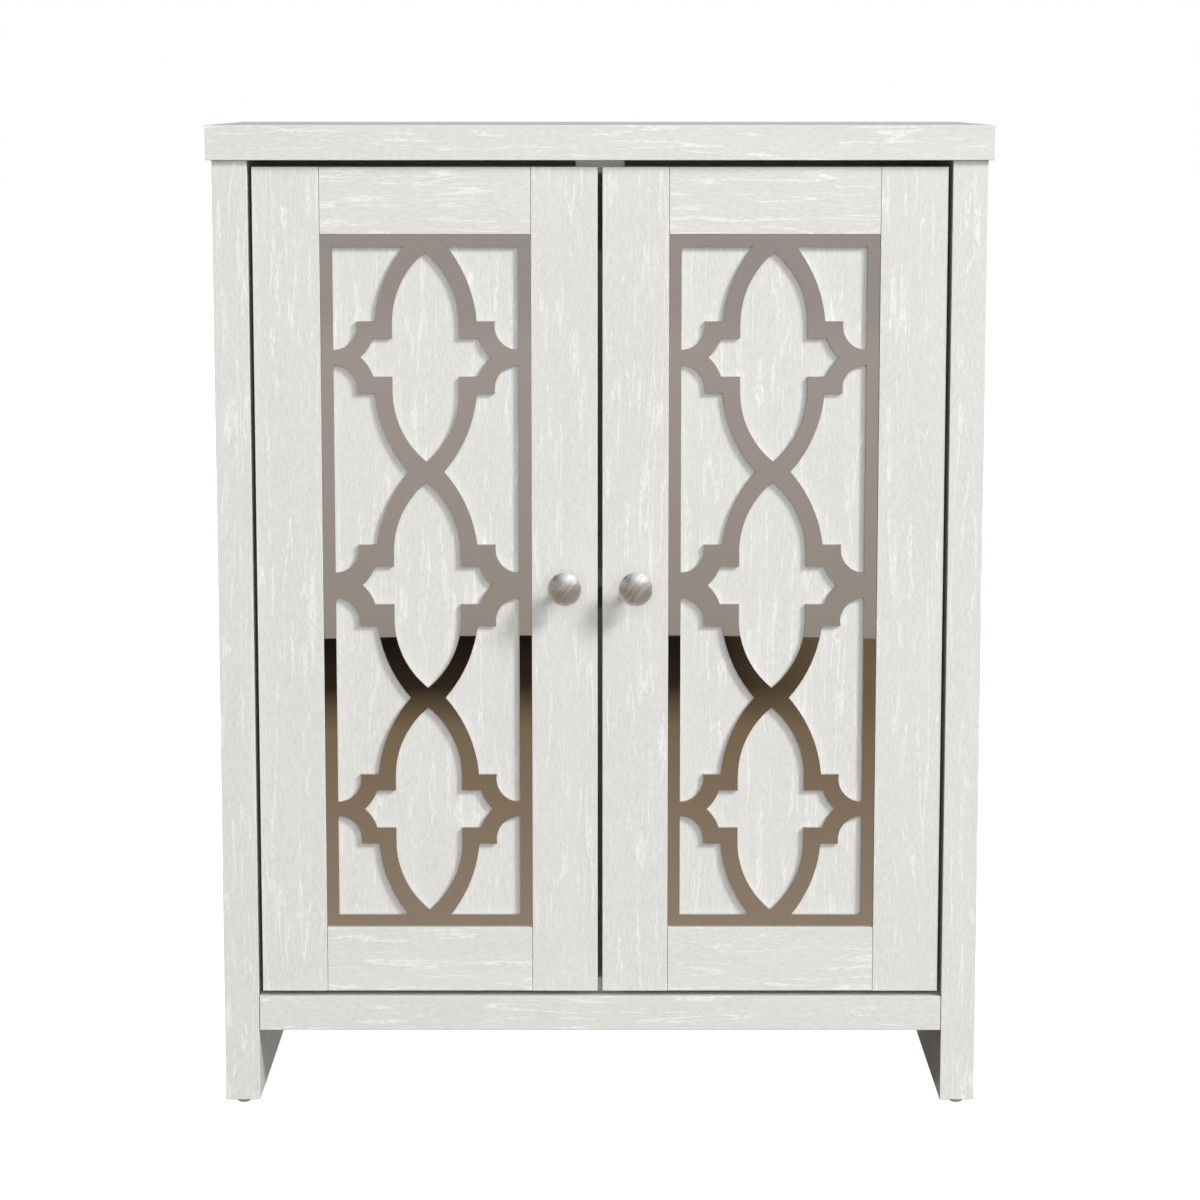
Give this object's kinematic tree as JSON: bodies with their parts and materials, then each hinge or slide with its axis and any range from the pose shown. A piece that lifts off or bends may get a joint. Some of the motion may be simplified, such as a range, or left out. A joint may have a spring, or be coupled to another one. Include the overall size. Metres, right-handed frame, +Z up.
{
  "type": "freestanding bathroom cabinet",
  "caption": "Freestanding bathroom cabinet of pale boards, with a pair of inset framed doors faced with mirror fretwork, round knobs, an inner shelf and open legs.",
  "frame": {"origin": "on the floor, at the middle of the cabinet's width and of its whole depth, knobs included", "axes": "+X to the right seen from the front, +Y from the doors to the back, +Z up"},
  "size_m": [0.635, 0.32, 0.8118],
  "materials": {
    "laminate_across": "off-white embossed laminate, grain across",
    "laminate_upright": "off-white embossed laminate, grain upright",
    "back_board": "painted hardboard",
    "mirror_sheet": "silvered mirror sheet",
    "satin_nickel": "turned satin nickel",
    "nickel_steel": "nickel-plated pressed steel",
    "zinc_steel": "zinc-plated steel",
    "catch_plastic": "moulded off-white plastic",
    "glide_plastic": "moulded grey-brown plastic",
    "magnet": "ferrite block",
    "dowel_wood": "fluted beech"
  },
  "bodies": {
    "cabinet": {"top_panel": "laminate_across", "left_side_panel": "laminate_upright", "right_side_panel": "laminate_upright", "bottom_panel": "laminate_across", "back_panel": "back_board", "shelf": "laminate_across", "shelf_pins": "zinc_steel", "floor_glides": "glide_plastic", "top_cam_locks": "zinc_steel", "bottom_cam_locks": "zinc_steel", "top_cam_bolts": "zinc_steel", "bottom_cam_bolts": "zinc_steel", "top_dowels": "dowel_wood", "bottom_dowels": "dowel_wood", "upper_catch": "catch_plastic", "lower_catch": "catch_plastic", "upper_catch_magnets": "magnet", "lower_catch_magnets": "magnet", "upper_catch_screws": "zinc_steel", "lower_catch_screws": "zinc_steel", "left_hinge_arms": "nickel_steel", "left_hinge_plates": "nickel_steel", "left_arm_screws": "zinc_steel", "left_plate_screws": "zinc_steel", "right_hinge_arms": "nickel_steel", "right_hinge_plates": "nickel_steel", "right_arm_screws": "zinc_steel", "right_plate_screws": "zinc_steel"},
    "left_door": {"left_outer_stile": "laminate_upright", "left_inner_stile": "laminate_upright", "left_top_rail": "laminate_across", "left_bottom_rail": "laminate_across", "left_door_panel": "laminate_upright", "left_mirror_fret": "mirror_sheet", "left_knob": "satin_nickel", "left_knob_screw": "zinc_steel", "left_hinge_cups": "nickel_steel", "left_hinge_pins": "nickel_steel", "left_cup_screws": "zinc_steel", "left_strike_plates": "zinc_steel", "left_strike_screws": "zinc_steel"},
    "right_door": {"right_outer_stile": "laminate_upright", "right_inner_stile": "laminate_upright", "right_top_rail": "laminate_across", "right_bottom_rail": "laminate_across", "right_door_panel": "laminate_upright", "right_mirror_fret": "mirror_sheet", "right_knob": "satin_nickel", "right_knob_screw": "zinc_steel", "right_hinge_cups": "nickel_steel", "right_hinge_pins": "nickel_steel", "right_cup_screws": "zinc_steel", "right_strike_plates": "zinc_steel", "right_strike_screws": "zinc_steel"}
  },
  "joints": [
    {"name": "left_door_swing", "type": "hinge", "parent": "cabinet", "child": "left_door", "pos_m": [-0.26515, -0.122, 0.43725], "axis": [0, 0, -1], "range_deg": [0, 95]},
    {"name": "right_door_swing", "type": "hinge", "parent": "cabinet", "child": "right_door", "pos_m": [0.26515, -0.122, 0.43725], "axis": [0, 0, 1], "range_deg": [0, 95]}
  ]
}
